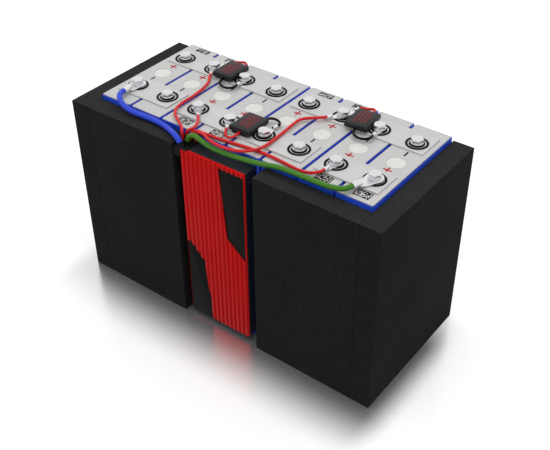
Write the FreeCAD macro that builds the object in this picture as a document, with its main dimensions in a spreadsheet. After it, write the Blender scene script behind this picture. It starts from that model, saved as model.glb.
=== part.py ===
# Lithium iron phosphate battery pack: eight prismatic cells joined by flat plates,
# a ribbed protection unit on the front, three small balancers and their wiring.
# Millimetres, +Z up. The origin is the middle of the pack on the surface it stands on;
# +X runs along the row of cells and +Y points away from the protection unit.

import FreeCAD, Part
import Sketcher
import math
import os

os.makedirs("parts", exist_ok=True)
doc = FreeCAD.newDocument("BatteryPack")
Vector = FreeCAD.Vector
Placement = FreeCAD.Placement
Rotation = FreeCAD.Rotation

SIZES = [
    # sealed cells, their spacers and the sheet on each lid
    ("cell_thickness", 36.8),
    ("cell_depth", 130),
    ("cell_height", 202.2),
    ("cell_corner_radius", 2),
    ("separator_thickness", 1.2),
    ("separator_inset", 2.4),
    ("terminal_spacing", 68),
    ("terminal_post_diameter", 15),
    ("terminal_thread_depth", 10),
    ("vent_diameter", 16),
    ("vent_rise", 0.6),
    ("top_sheet_thickness", 0.8),
    ("top_sheet_inset", 1),
    ("top_sheet_corner_radius", 1.6),
    ("top_sheet_hole_clearance", 0.4),
    # foam panels round the row
    ("end_panel_thickness", 20.5),
    ("front_panel_thickness", 19.5),
    ("panel_height", 198),
    ("end_panel_overhang", 2),
    ("front_panel_gap", 10.5),
    ("panel_edge_radius", 0.6),
    # plates that join the terminals
    ("plate_thickness", 1.5),
    ("plate_width", 31),
    ("plate_end_margin", 6.4),
    ("back_plate_shift", 2.8),
    ("plate_corner_radius", 1),
    # stack of rings, washer and bolt on each terminal
    ("bolt_diameter", 6),
    ("bolt_length", 12),
    ("bolt_clearance", 0.3),
    ("bolt_head_width", 10),
    ("bolt_head_height", 3.4),
    ("bolt_head_top_diameter", 9.4),
    ("bolt_head_slope_diameter", 22),
    ("washer_diameter", 12),
    ("washer_thickness", 1.4),
    ("gasket_diameter", 14),
    ("gasket_thickness", 0.6),
    ("outer_ring_diameter", 20.7),
    ("outer_ring_hole", 16.5),
    ("outer_ring_thickness", 0.5),
    # ring lugs of the thin wires
    ("ring_lug_diameter", 11),
    ("ring_lug_thickness", 0.8),
    ("ring_lug_neck_width", 3.4),
    ("ring_lug_barrel_diameter", 3.6),
    ("ring_lug_barrel_length", 5),
    ("ring_lug_reach", 16),
    ("lug_barrel_lift", 0.1),
    # lugs of the two main cables
    ("cable_lug_diameter", 15.6),
    ("cable_lug_thickness", 1.5),
    ("cable_lug_neck_width", 7),
    ("cable_lug_barrel_diameter", 6.4),
    ("cable_lug_barrel_length", 9),
    ("negative_lug_reach", 21),
    ("positive_lug_reach", 24.5),
    # protection unit
    ("unit_width", 72),
    ("unit_height", 188),
    ("unit_lift", 6.6),
    ("unit_offset", -1.5),
    ("unit_housing_depth", 14.1),
    ("unit_edge_radius", 0.8),
    ("unit_pad_thickness", 1),
    ("unit_pad_margin", 8),
    ("front_plate_base", 1.5),
    ("rib_height", 1.5),
    ("rib_foot_width", 4.4),
    ("rib_crest_width", 2.6),
    ("inlay_thickness", 0.7),
    ("inlay_border", 1),
    ("upper_inlay_side", 35.1),
    ("upper_inlay_top_start", 7.7),
    ("upper_inlay_corner_across", 14.3),
    ("upper_inlay_corner_rise", 110.4),
    ("upper_inlay_side_rise", 92.8),
    ("upper_inlay_top_drop", 3.6),
    ("lower_inlay_side_rise", 86),
    ("lower_inlay_shoulder_across", 30.5),
    ("lower_inlay_shoulder_rise", 86.9),
    ("lower_inlay_corner_across", 14.5),
    ("lower_inlay_corner_rise", 69.4),
    ("lower_inlay_foot_across", 8.1),
    ("unit_screw_diameter", 3),
    ("unit_screw_length", 8),
    ("unit_screw_head_diameter", 5.4),
    ("unit_screw_head_height", 1.2),
    ("unit_screw_top_margin", 12.4),
    ("unit_screw_foot_margin", 7.6),
    ("unit_screw_clearance", 0.3),
    # gland over the top left corner of the protection unit
    ("gland_flange_thickness", 1),
    ("gland_flange_reach", 7),
    ("gland_flange_width", 15),
    ("gland_panel_clearance", 0.5),
    ("gland_drop", 8.6),
    ("cable_collar_wall", 0.5),
    ("cable_collar_length", 12),
    ("wire_collar_wall", 0.3),
    ("wire_collar_height", 1),
    ("negative_collar_across", -1.9),
    ("negative_collar_forward", 14.35),
    ("negative_collar_rise", 3.8),
    ("negative_collar_lean", 37),
    ("negative_collar_heading", 175),
    ("positive_collar_across", 1.8),
    ("positive_collar_forward", 8.05),
    ("positive_collar_rise", 4.5),
    ("positive_collar_lean", 16.6),
    ("positive_collar_heading", 12.5),
    ("wire_1_collar_across", -4.7),
    ("wire_1_collar_forward", 7.95),
    ("wire_2_collar_across", -3),
    ("wire_2_collar_forward", 3.75),
    ("wire_3_collar_across", 0.7),
    ("wire_3_collar_forward", 2.75),
    ("wire_4_collar_across", 6.3),
    ("wire_4_collar_forward", 2.45),
    # balancers and their pads
    ("balancer_width", 22),
    ("balancer_length", 28.5),
    ("balancer_height", 6),
    ("balancer_chamfer", 0.7),
    ("balancer_pad_width", 16),
    ("balancer_pad_length", 24),
    ("balancer_pad_thickness", 1),
    ("balancer_left_shift", 1.4),
    ("balancer_left_back", 0.55),
    ("balancer_left_turn", 0),
    ("balancer_middle_shift", 1.5),
    ("balancer_middle_back", 1.25),
    ("balancer_middle_turn", 0),
    ("balancer_right_shift", 1.9),
    ("balancer_right_back", -1.25),
    ("balancer_right_turn", 5),
    # directions of the lugs about their bolts, in degrees from +X
    ("main_negative_cable_lug_angle", -84.5),
    ("main_positive_cable_lug_angle", -106),
    ("sense_wire_1_lug_angle", -64),
    ("sense_wire_2_lug_angle", -49),
    ("sense_wire_3_lug_angle", -94),
    ("sense_wire_4_lug_angle", -126),
    ("balancer_left_red_lead_lug_angle", 62),
    ("balancer_left_black_lead_lug_angle", -80),
    ("balancer_middle_red_lead_lug_angle", -63),
    ("balancer_middle_black_lead_lug_angle", 82),
    ("balancer_right_red_lead_lug_angle", 66),
    ("balancer_right_black_lead_lug_angle", -80),
    # cords
    ("main_cable_diameter", 5.2),
    ("positive_cable_diameter", 4.8),
    ("sense_wire_diameter", 2.8),
    ("balancer_lead_diameter", 2.4),
]

CELL_COUNT = 8
RIB_COUNT = 14
BOLT_TURN_STEP = 17

sheet = doc.addObject("Spreadsheet::Sheet", "Sizes")
for row, (alias, size) in enumerate(SIZES, start=1):
    sheet.set(f"A{row}", alias)
    sheet.set(f"B{row}", str(size))
    sheet.setAlias(f"B{row}", alias)
doc.recompute()

# Places worked out from the sizes, as formulas that the sub-parts share.
PITCH = "(Sizes.cell_thickness + Sizes.separator_thickness)"
OVERALL_DEPTH = "(Sizes.front_panel_thickness + Sizes.cell_depth + Sizes.end_panel_overhang)"
CELL_FRONT_Y = f"(Sizes.front_panel_thickness - {OVERALL_DEPTH} / 2)"
CELL_MIDDLE_Y = f"({CELL_FRONT_Y} + Sizes.cell_depth / 2)"
ROW_HALF_LENGTH = f"({CELL_COUNT} * {PITCH} / 2 - Sizes.separator_thickness / 2)"
SHEET_TOP = "(Sizes.cell_height + Sizes.top_sheet_thickness)"
PLATE_TOP = f"({SHEET_TOP} + Sizes.plate_thickness)"
GASKET_TOP = f"({PLATE_TOP} + Sizes.gasket_thickness)"
BOLT_HOLE = "(Sizes.bolt_diameter + 2 * Sizes.bolt_clearance)"
UNIT_BACK_Y = f"({CELL_FRONT_Y} - Sizes.unit_pad_thickness)"
HOUSING_FRONT_Y = f"({UNIT_BACK_Y} - Sizes.unit_housing_depth)"
UNIT_LEFT_X = "(Sizes.unit_offset - Sizes.unit_width / 2)"
UNIT_RIGHT_X = "(Sizes.unit_offset + Sizes.unit_width / 2)"
UNIT_TOP = "(Sizes.unit_lift + Sizes.unit_height)"
FLANGE_TOP = f"({UNIT_TOP} + Sizes.gland_flange_thickness)"
BALANCER_FOOT = f"({PLATE_TOP} + Sizes.balancer_pad_thickness)"

# Wires with a small ring lug: cell counted from 1 at the left, row of terminals and
# how many lugs lie under this one.
RING_LUGS = {
    "sense_wire_1": (2, "back", 0),
    "sense_wire_2": (3, "front", 0),
    "sense_wire_3": (7, "front", 0),
    "sense_wire_4": (6, "back", 0),
    "balancer_left_red_lead": (2, "back", 1),
    "balancer_left_black_lead": (3, "back", 0),
    "balancer_middle_red_lead": (4, "front", 0),
    "balancer_middle_black_lead": (5, "front", 0),
    "balancer_right_red_lead": (6, "back", 1),
    "balancer_right_black_lead": (7, "back", 0),
}
MAIN_CABLE_SIZES = {"negative": "Sizes.main_cable_diameter", "positive": "Sizes.positive_cable_diameter"}
CABLE_LUGS = {
    "main_negative_cable": (1, "front", "negative_lug_reach"),
    "main_positive_cable": (8, "front", "positive_lug_reach"),
}
# Plates: middle of the plate in cells from the middle of the row, cells joined, row
# and how far the plate's middle lies behind the bolts.
PLATES = {
    "back_left_plate": (-2, 4, "back", "Sizes.back_plate_shift"),
    "back_right_plate": (2, 4, "back", "Sizes.back_plate_shift"),
    "front_left_plate": (-3, 2, "front", 0),
    "front_middle_plate": (0, 4, "front", 0),
    "front_right_plate": (3, 2, "front", 0),
}
# Balancers: middle of the pad in cells from the middle of the row, row.
BALANCERS = {
    "balancer_left": (-2, "back"),
    "balancer_middle": (0, "front"),
    "balancer_right": (2, "back"),
}


def number(formula):
    """The value of a formula over the sheet's names."""
    value = sheet.evalExpression(str(formula))
    return float(getattr(value, "Value", value))


def bind(thing, **formulas):
    """Ties properties of a document object to formulas."""
    for name, formula in formulas.items():
        thing.setExpression(name, str(formula))
    return thing


def place(thing, x=0, y=0, z=0, turn=0):
    """Ties an object's place to formulas; the turn is about +Z, in degrees."""
    thing.Placement = Placement(Vector(), Rotation(Vector(0, 0, 1), number(turn)))
    return bind(thing, **{".Placement.Base.x": x, ".Placement.Base.y": y, ".Placement.Base.z": z})


def cell_x(index):
    """Middle of a cell, counted from 1 at the left end."""
    return f"(({index} - {(CELL_COUNT + 1) / 2}) * {PITCH})"


def terminal_y(row):
    """Middle of the terminals of the front or back row."""
    sign = {"front": "-", "back": "+"}[row]
    return f"({CELL_MIDDLE_Y} {sign} Sizes.terminal_spacing / 2)"


def group(label, pieces):
    """Loose pieces that share one node, each still its own solid."""
    compound = doc.addObject("Part::Compound", label)
    compound.Label = label
    compound.Links = pieces
    return compound


def cut(name, base, tool):
    result = doc.addObject("Part::Cut", name)
    result.Base = base
    result.Tool = tool
    return result


def fused(name, pieces):
    union = doc.addObject("Part::MultiFuse", name)
    union.Shapes = pieces
    return union


def cylinder(name, diameter, height):
    return bind(doc.addObject("Part::Cylinder", name), Radius=f"{diameter} / 2", Height=height)


def drilled_disc(name, diameter, hole, thickness):
    """A flat ring."""
    outside = cylinder(f"{name}_outside", diameter, thickness)
    inside = cylinder(f"{name}_inside", hole, thickness)
    return cut(name, outside, inside)


def new_body(label):
    body = doc.addObject("PartDesign::Body", label)
    body.Label = label
    return body


def new_sketch(body, name, role="XY_Plane", offset=0):
    """A sketch on one of the body's own planes, moved along the plane's normal."""
    sketch = body.newObject("Sketcher::SketchObject", name)
    plane = next(item for item in body.Origin.OriginFeatures if item.Role == role)
    sketch.AttachmentSupport = [(plane, "")]
    sketch.MapMode = "FlatFace"
    return bind(sketch, **{".AttachmentOffset.Base.z": offset})


def draw_polygon(sketch, corners):
    """A closed outline whose corners are tied to formulas."""
    points = [Vector(number(across), number(along), 0) for across, along in corners]
    first = sketch.GeometryCount
    for start, end in zip(points, points[1:] + points[:1]):
        sketch.addGeometry(Part.LineSegment(start, end), False)
    count = len(points)
    for index, (across, along) in enumerate(corners):
        line = first + index
        after = first + (index + 1) % count
        sketch.addConstraint(Sketcher.Constraint("Coincident", line, 2, after, 1))
        for kind, formula in (("DistanceX", across), ("DistanceY", along)):
            tie = sketch.addConstraint(Sketcher.Constraint(kind, -1, 1, line, 1, number(formula)))
            sketch.setExpression(f"Constraints[{tie}]", str(formula))


def draw_rectangle(sketch, width, depth):
    """A rectangle about the sketch's origin."""
    draw_polygon(sketch, [
        (f"-{width} / 2", f"-{depth} / 2"),
        (f"{width} / 2", f"-{depth} / 2"),
        (f"{width} / 2", f"{depth} / 2"),
        (f"-{width} / 2", f"{depth} / 2"),
    ])


def draw_circle(sketch, across, along, diameter):
    """A circle tied to formulas."""
    centre = Vector(number(across), number(along), 0)
    circle = sketch.addGeometry(Part.Circle(centre, Vector(0, 0, 1), number(diameter) / 2), False)
    for kind, formula in (("DistanceX", across), ("DistanceY", along)):
        tie = sketch.addConstraint(Sketcher.Constraint(kind, -1, 1, circle, 3, number(formula)))
        sketch.setExpression(f"Constraints[{tie}]", str(formula))
    tie = sketch.addConstraint(Sketcher.Constraint("Diameter", circle, number(diameter)))
    sketch.setExpression(f"Constraints[{tie}]", str(diameter))


def feature(body, kind, name, profile, length, turned=False):
    """A pad along the sketch's normal, or a pocket against it, unless turned."""
    result = body.newObject(f"PartDesign::{kind}", name)
    result.Profile = profile
    result.Reversed = turned
    bind(result, Length=length)
    profile.Visibility = False
    return result


def checked_volume(result, added):
    """Recomputes and makes sure that a feature really added or removed material."""
    doc.recompute()
    change = result.Shape.Volume - result.BaseFeature.Shape.Volume
    if (change > 0) != added:
        raise ValueError(f"{result.Name} changed the volume by {change:.1f}")
    return result


def edges_where(shape, test):
    """Names of the edges whose bounding box passes the test."""
    return [f"Edge{index}" for index, edge in enumerate(shape.Edges, start=1) if test(edge.BoundBox)]


def dressed(body, kind, name, base, test, size):
    """A fillet or chamfer on the edges that pass the test."""
    doc.recompute()
    result = body.newObject(f"PartDesign::{kind}", name)
    result.Base = (base, edges_where(base.Shape, test))
    bind(result, **{"Radius" if kind == "Fillet" else "Size": size})
    return result


def is_upright(box):
    return box.ZLength > 1e-3 and box.XLength < 1e-3 and box.YLength < 1e-3


def along_top(height):
    """A test for the edges at a height."""
    return lambda box: box.ZLength < 1e-3 and abs(box.ZMin - height) < 1e-3


def block(label, width, depth, height):
    """A body with one upright rectangular pad about its origin."""
    body = new_body(label)
    sketch = new_sketch(body, f"{label}_outline")
    draw_rectangle(sketch, width, depth)
    return body, feature(body, "Pad", f"{label}_pad", sketch, height)


POST_PLACES = ("-Sizes.terminal_spacing / 2", "Sizes.terminal_spacing / 2")

# Each cell is a sealed can with two threaded posts and a vent disc on its lid. Its wrap
# is part of the same solid. The pale sheet on the lid has holes round posts and vent.
for index in range(1, CELL_COUNT + 1):
    label = f"cell_{index}"
    body, can = block(label, "Sizes.cell_thickness", "Sizes.cell_depth", "Sizes.cell_height")
    dressed(body, "Fillet", f"{label}_corners", can, is_upright, "Sizes.cell_corner_radius")
    posts = new_sketch(body, f"{label}_post_circles", offset="Sizes.cell_height")
    for along in POST_PLACES:
        draw_circle(posts, 0, along, "Sizes.terminal_post_diameter")
    feature(body, "Pad", f"{label}_posts", posts, "Sizes.top_sheet_thickness")
    vent = new_sketch(body, f"{label}_vent_circle", offset="Sizes.cell_height")
    draw_circle(vent, 0, 0, "Sizes.vent_diameter")
    feature(body, "Pad", f"{label}_vent", vent, "Sizes.vent_rise")
    threads = new_sketch(body, f"{label}_thread_circles", offset=SHEET_TOP)
    for along in POST_PLACES:
        draw_circle(threads, 0, along, BOLT_HOLE)
    bore = feature(body, "Pocket", f"{label}_threads", threads, "Sizes.terminal_thread_depth")
    checked_volume(bore, added=False)
    place(body, cell_x(index), CELL_MIDDLE_Y, 0)

    label = f"cell_{index}_top_sheet"
    body = new_body(label)
    outline = new_sketch(body, f"{label}_outline")
    inset = "2 * Sizes.top_sheet_inset"
    draw_rectangle(outline, f"(Sizes.cell_thickness - {inset})", f"(Sizes.cell_depth - {inset})")
    for along in POST_PLACES:
        draw_circle(outline, 0, along, "Sizes.terminal_post_diameter + 2 * Sizes.top_sheet_hole_clearance")
    draw_circle(outline, 0, 0, "Sizes.vent_diameter + 2 * Sizes.top_sheet_hole_clearance")
    pad = feature(body, "Pad", f"{label}_pad", outline, "Sizes.top_sheet_thickness")
    dressed(body, "Fillet", f"{label}_corners", pad, is_upright, "Sizes.top_sheet_corner_radius")
    place(body, cell_x(index), CELL_MIDDLE_Y, "Sizes.cell_height")

# Thin spacers stand between the cells, a little lower and narrower than the cans.
for index in range(1, CELL_COUNT):
    body = block(
        f"separator_{index}",
        "Sizes.separator_thickness",
        "(Sizes.cell_depth - 2 * Sizes.separator_inset)",
        "(Sizes.cell_height - Sizes.separator_inset)",
    )[0]
    place(body, cell_x(index + 0.5), CELL_MIDDLE_Y, 0)

# Foam panels: one at each end of the row and two in front of it. The left front panel
# ends beside the cable gland and the right one leaves a wider gap to the unit.
END_PANEL_X = f"({ROW_HALF_LENGTH} + Sizes.end_panel_thickness / 2)"
LEFT_PANEL_END_X = f"({UNIT_LEFT_X} - Sizes.gland_flange_reach - Sizes.gland_panel_clearance)"
RIGHT_PANEL_START_X = f"({UNIT_RIGHT_X} + Sizes.front_panel_gap)"
LEFT_PANEL_LENGTH = f"({LEFT_PANEL_END_X} + {ROW_HALF_LENGTH})"
RIGHT_PANEL_LENGTH = f"({ROW_HALF_LENGTH} - {RIGHT_PANEL_START_X})"
LEFT_PANEL_X = f"({LEFT_PANEL_END_X} - {LEFT_PANEL_LENGTH} / 2)"
RIGHT_PANEL_X = f"({RIGHT_PANEL_START_X} + {RIGHT_PANEL_LENGTH} / 2)"
FRONT_PANEL_Y = f"({CELL_FRONT_Y} - Sizes.front_panel_thickness / 2)"
PANELS = {
    "left_end_panel": ("Sizes.end_panel_thickness", OVERALL_DEPTH, f"-{END_PANEL_X}", 0),
    "right_end_panel": ("Sizes.end_panel_thickness", OVERALL_DEPTH, END_PANEL_X, 0),
    "front_left_panel": (LEFT_PANEL_LENGTH, "Sizes.front_panel_thickness", LEFT_PANEL_X, FRONT_PANEL_Y),
    "front_right_panel": (RIGHT_PANEL_LENGTH, "Sizes.front_panel_thickness", RIGHT_PANEL_X, FRONT_PANEL_Y),
}
for label, (width, depth, x, y) in PANELS.items():
    body, pad = block(label, width, depth, "Sizes.panel_height")
    dressed(body, "Fillet", f"{label}_edges", pad, lambda box: True, "Sizes.panel_edge_radius")
    place(body, x, y, 0)

# Plates lie on the sheets and posts and join the terminals of neighbouring cells.
for label, (middle, joined, row, shift) in PLATES.items():
    length = f"({joined} * {PITCH} - 2 * Sizes.plate_end_margin)"
    body, pad = block(label, length, "Sizes.plate_width", "Sizes.plate_thickness")
    dressed(body, "Fillet", f"{label}_corners", pad, is_upright, "Sizes.plate_corner_radius")
    drill = new_sketch(body, f"{label}_first_hole", offset="Sizes.plate_thickness")
    draw_circle(drill, f"-{joined - 1} * {PITCH} / 2", f"-{shift}", BOLT_HOLE)
    hole = feature(body, "Pocket", f"{label}_hole", drill, "Sizes.plate_thickness")
    checked_volume(hole, added=False)
    holes = body.newObject("PartDesign::LinearPattern", f"{label}_holes")
    holes.Originals = [hole]
    holes.Direction = (drill, ["H_Axis"])
    holes.Occurrences = joined
    bind(holes, Length=f"{joined - 1} * {PITCH}")
    body.Tip = holes
    place(body, f"{middle} * {PITCH}", f"{terminal_y(row)} + {shift}", SHEET_TOP)


def bolt(name):
    """A hexagon head bolt whose head stands on its origin, edges sloped at the top."""
    prism = doc.addObject("Part::Prism", f"{name}_hexagon")
    prism.Polygon = 6
    bind(prism, Circumradius="Sizes.bolt_head_width / sqrt(3)", Height="Sizes.bolt_head_height")
    slope = bind(
        doc.addObject("Part::Cone", f"{name}_slope"),
        Radius1="Sizes.bolt_head_slope_diameter / 2",
        Radius2="Sizes.bolt_head_top_diameter / 2",
        Height="Sizes.bolt_head_height",
    )
    head = doc.addObject("Part::MultiCommon", f"{name}_head")
    head.Shapes = [prism, slope]
    shank = cylinder(f"{name}_shank", "Sizes.bolt_diameter", "(Sizes.bolt_length + Sizes.bolt_head_height / 2)")
    place(shank, 0, 0, "-Sizes.bolt_length")
    return fused(name, [head, shank])


# On every terminal: an outer ring and a gasket on the plate, lugs where wires arrive,
# then a washer and a bolt that reaches into the thread of the post.
TERMINALS = [(cell, row) for row in ("front", "back") for cell in range(1, CELL_COUNT + 1)]
outer_rings = []
gaskets = []
washers = []
bolts = []
for count, (cell, row) in enumerate(TERMINALS):
    at = (cell_x(cell), terminal_y(row))
    small = sum(1 for lug in RING_LUGS.values() if lug[:2] == (cell, row))
    large = sum(1 for lug in CABLE_LUGS.values() if lug[:2] == (cell, row))
    lug_top = f"({GASKET_TOP} + {small} * Sizes.ring_lug_thickness + {large} * Sizes.cable_lug_thickness)"
    name = f"{row}_{cell}"
    ring = drilled_disc(
        f"outer_ring_{name}", "Sizes.outer_ring_diameter", "Sizes.outer_ring_hole", "Sizes.outer_ring_thickness",
    )
    outer_rings.append(place(ring, *at, PLATE_TOP))
    gasket = drilled_disc(f"gasket_{name}", "Sizes.gasket_diameter", BOLT_HOLE, "Sizes.gasket_thickness")
    gaskets.append(place(gasket, *at, PLATE_TOP))
    washer = drilled_disc(f"washer_{name}", "Sizes.washer_diameter", BOLT_HOLE, "Sizes.washer_thickness")
    washers.append(place(washer, *at, lug_top))
    turn = BOLT_TURN_STEP * count
    bolts.append(place(bolt(f"bolt_{name}"), *at, f"({lug_top} + Sizes.washer_thickness)", turn))
group("terminal_outer_rings", outer_rings)
group("terminal_gaskets", gaskets)
group("terminal_washers", washers)
group("terminal_bolts", bolts)


# Width of a tongue's root as a share of the eye, and the share of the barrel's length that
# the tongue runs into.
TONGUE_ROOT_SHARE = 0.95
TONGUE_OVERLAP_SHARE = 0.2


def lug(name, size, reach):
    """A flat eye with a tongue that narrows to a crimped barrel, pointing along +X."""
    eye = cylinder(f"{name}_eye", f"Sizes.{size}_diameter", f"Sizes.{size}_thickness")
    tongue = bind(
        doc.addObject("Part::Wedge", f"{name}_tongue"),
        Xmin=f"-Sizes.{size}_diameter / 2 * {TONGUE_ROOT_SHARE}",
        Xmax=f"Sizes.{size}_diameter / 2 * {TONGUE_ROOT_SHARE}",
        X2min=f"-Sizes.{size}_neck_width / 2",
        X2max=f"Sizes.{size}_neck_width / 2",
        Ymin="Sizes.bolt_diameter / 4",
        Ymax=f"{reach} - {1 - TONGUE_OVERLAP_SHARE} * Sizes.{size}_barrel_length",
        Zmin=0,
        Z2min=0,
        Zmax=f"Sizes.{size}_thickness",
        Z2max=f"Sizes.{size}_thickness",
    )
    tongue.Placement = Placement(Vector(), Rotation(Vector(0, 0, 1), -90))
    barrel = cylinder(f"{name}_barrel", f"Sizes.{size}_barrel_diameter", f"Sizes.{size}_barrel_length")
    barrel.Placement = Placement(Vector(), Rotation(Vector(0, 1, 0), 90))
    bind(barrel, **{
        ".Placement.Base.x": f"{reach} - Sizes.{size}_barrel_length",
        ".Placement.Base.z": f"Sizes.{size}_barrel_diameter / 2 + Sizes.lug_barrel_lift",
    })
    hole = cylinder(f"{name}_hole", BOLT_HOLE, f"Sizes.{size}_thickness")
    return cut(name, fused(f"{name}_whole", [eye, tongue, barrel]), hole)


def lug_end(cord, cell, row, size, reach, under, beyond=0):
    """Point on the axis of a lug's barrel, at its mouth or some way beyond it."""
    angle = math.radians(number(f"Sizes.{cord}_lug_angle"))
    distance = number(f"Sizes.{reach}") + beyond
    rise = f"{GASKET_TOP} + {under} * Sizes.{size}_thickness + Sizes.{size}_barrel_diameter / 2 + Sizes.lug_barrel_lift"
    return Vector(
        number(cell_x(cell)) + distance * math.cos(angle),
        number(terminal_y(row)) + distance * math.sin(angle),
        number(rise),
    )


lug_mouths = {}
ring_lugs = []
for cord, (cell, row, under) in RING_LUGS.items():
    piece = lug(f"{cord}_lug", "ring_lug", "Sizes.ring_lug_reach")
    foot = f"{GASKET_TOP} + {under} * Sizes.ring_lug_thickness"
    ring_lugs.append(place(piece, cell_x(cell), terminal_y(row), foot, f"Sizes.{cord}_lug_angle"))
    lug_mouths[cord] = (cell, row, "ring_lug", "ring_lug_reach", under)
group("ring_lugs", ring_lugs)
cable_lugs = []
for cord, (cell, row, reach) in CABLE_LUGS.items():
    piece = lug(f"{cord}_lug", "cable_lug", f"Sizes.{reach}")
    cable_lugs.append(place(piece, cell_x(cell), terminal_y(row), GASKET_TOP, f"Sizes.{cord}_lug_angle"))
    lug_mouths[cord] = (cell, row, "cable_lug", reach, 0)
group("main_cable_lugs", cable_lugs)

# The protection unit is a sealed box held by an adhesive pad to the cells in the gap
# between the front panels; four small screws close it from the sides.
body, pad = block("unit_housing", "Sizes.unit_width", "Sizes.unit_housing_depth", "Sizes.unit_height")
dressed(body, "Fillet", "unit_housing_edges", pad, lambda box: True, "Sizes.unit_edge_radius")
SCREW_RISES = ("Sizes.unit_screw_foot_margin", "(Sizes.unit_height - Sizes.unit_screw_top_margin)")
SCREW_HOLE = "(Sizes.unit_screw_diameter + 2 * Sizes.unit_screw_clearance)"
for side, sign in (("left", "-"), ("right", "")):
    drill = new_sketch(body, f"unit_{side}_screw_circles", "YZ_Plane", f"{sign}Sizes.unit_width / 2")
    for rise in SCREW_RISES:
        draw_circle(drill, 0, rise, SCREW_HOLE)
    depth = "(Sizes.unit_screw_length + Sizes.unit_screw_clearance)"
    hole = feature(body, "Pocket", f"unit_{side}_screw_holes", drill, depth, turned=side == "left")
    checked_volume(hole, added=False)
HOUSING_MIDDLE_Y = f"({UNIT_BACK_Y} - Sizes.unit_housing_depth / 2)"
place(body, "Sizes.unit_offset", HOUSING_MIDDLE_Y, "Sizes.unit_lift")

margin = "2 * Sizes.unit_pad_margin"
body = block(
    "unit_mounting_pad",
    f"(Sizes.unit_width - {margin})",
    "Sizes.unit_pad_thickness",
    f"(Sizes.unit_height - {margin})",
)[0]
place(
    body,
    "Sizes.unit_offset",
    f"{UNIT_BACK_Y} + Sizes.unit_pad_thickness / 2",
    "Sizes.unit_lift + Sizes.unit_pad_margin",
)

screws = []
for side, sign, angle in (("left", "-", 90), ("right", "+", -90)):
    for level, rise in zip(("lower", "upper"), SCREW_RISES):
        name = f"unit_{side}_{level}_screw"
        head = cylinder(f"{name}_head", "Sizes.unit_screw_head_diameter", "Sizes.unit_screw_head_height")
        length = "(Sizes.unit_screw_length + Sizes.unit_screw_head_height / 2)"
        shank = cylinder(f"{name}_shank", "Sizes.unit_screw_diameter", length)
        place(shank, 0, 0, "-Sizes.unit_screw_length")
        screw = fused(name, [head, shank])
        place(
            screw,
            f"Sizes.unit_offset {sign} Sizes.unit_width / 2",
            HOUSING_MIDDLE_Y,
            f"Sizes.unit_lift + {rise}",
        )
        screw.Placement = Placement(screw.Placement.Base, Rotation(Vector(0, 1, 0), -angle))
        screws.append(screw)
group("unit_screws", screws)

# Front plate of the unit: upright ribs on a flat base, cut away where two black areas
# are set in.
UPPER_INLAY = [
    ("Sizes.upper_inlay_top_start", "(Sizes.unit_height - Sizes.upper_inlay_top_drop)"),
    ("Sizes.upper_inlay_corner_across", "Sizes.upper_inlay_corner_rise"),
    ("Sizes.upper_inlay_side", "Sizes.upper_inlay_side_rise"),
    ("Sizes.upper_inlay_side", "(Sizes.unit_height - Sizes.upper_inlay_top_drop)"),
]
LOWER_INLAY = [
    ("(Sizes.inlay_border - Sizes.unit_width / 2)", 0),
    ("-Sizes.lower_inlay_foot_across", 0),
    ("-Sizes.lower_inlay_corner_across", "Sizes.lower_inlay_corner_rise"),
    ("-Sizes.lower_inlay_shoulder_across", "Sizes.lower_inlay_shoulder_rise"),
    ("(Sizes.inlay_border - Sizes.unit_width / 2)", "Sizes.lower_inlay_side_rise"),
]
UNIT_FRONT_PLACE = ("Sizes.unit_offset", HOUSING_FRONT_Y, "Sizes.unit_lift")
body = new_body("unit_front_plate")
base = new_sketch(body, "unit_front_base_outline")
draw_polygon(base, [
    ("-Sizes.unit_width / 2", "-Sizes.front_plate_base"),
    ("Sizes.unit_width / 2", "-Sizes.front_plate_base"),
    ("Sizes.unit_width / 2", 0),
    ("-Sizes.unit_width / 2", 0),
])
feature(body, "Pad", "unit_front_base", base, "Sizes.unit_height")
rib_profile = new_sketch(body, "unit_front_rib_outline")
RIB_PITCH = f"(Sizes.unit_width / {RIB_COUNT})"
RIB_X = f"({RIB_PITCH} / 2 - Sizes.unit_width / 2)"
CREST_Y = "-(Sizes.front_plate_base + Sizes.rib_height)"
draw_polygon(rib_profile, [
    (f"{RIB_X} - Sizes.rib_foot_width / 2", "-Sizes.front_plate_base"),
    (f"{RIB_X} - Sizes.rib_crest_width / 2", CREST_Y),
    (f"{RIB_X} + Sizes.rib_crest_width / 2", CREST_Y),
    (f"{RIB_X} + Sizes.rib_foot_width / 2", "-Sizes.front_plate_base"),
])
rib = feature(body, "Pad", "unit_front_first_rib", rib_profile, "Sizes.unit_height")
ribs = body.newObject("PartDesign::LinearPattern", "unit_front_ribs")
ribs.Originals = [rib]
ribs.Direction = (rib_profile, ["H_Axis"])
ribs.Occurrences = RIB_COUNT
bind(ribs, Length=f"Sizes.unit_width - {RIB_PITCH}")
body.Tip = ribs
for name, outline in (("upper", UPPER_INLAY), ("lower", LOWER_INLAY)):
    crest = "(Sizes.front_plate_base + Sizes.rib_height)"
    recess = new_sketch(body, f"unit_front_{name}_recess_outline", "XZ_Plane", crest)
    draw_polygon(recess, outline)
    pocket = feature(body, "Pocket", f"unit_front_{name}_recess", recess, "Sizes.rib_height")
    checked_volume(pocket, added=False)
place(body, *UNIT_FRONT_PLACE)

inlays = []
for name, outline in (("upper", UPPER_INLAY), ("lower", LOWER_INLAY)):
    body = new_body(f"{name}_inlay")
    sketch = new_sketch(body, f"{name}_inlay_outline", "XZ_Plane", "Sizes.front_plate_base")
    draw_polygon(sketch, outline)
    feature(body, "Pad", f"{name}_inlay_pad", sketch, "Sizes.inlay_thickness")
    inlays.append(place(body, *UNIT_FRONT_PLACE))
group("unit_front_inlays", inlays)


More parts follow.
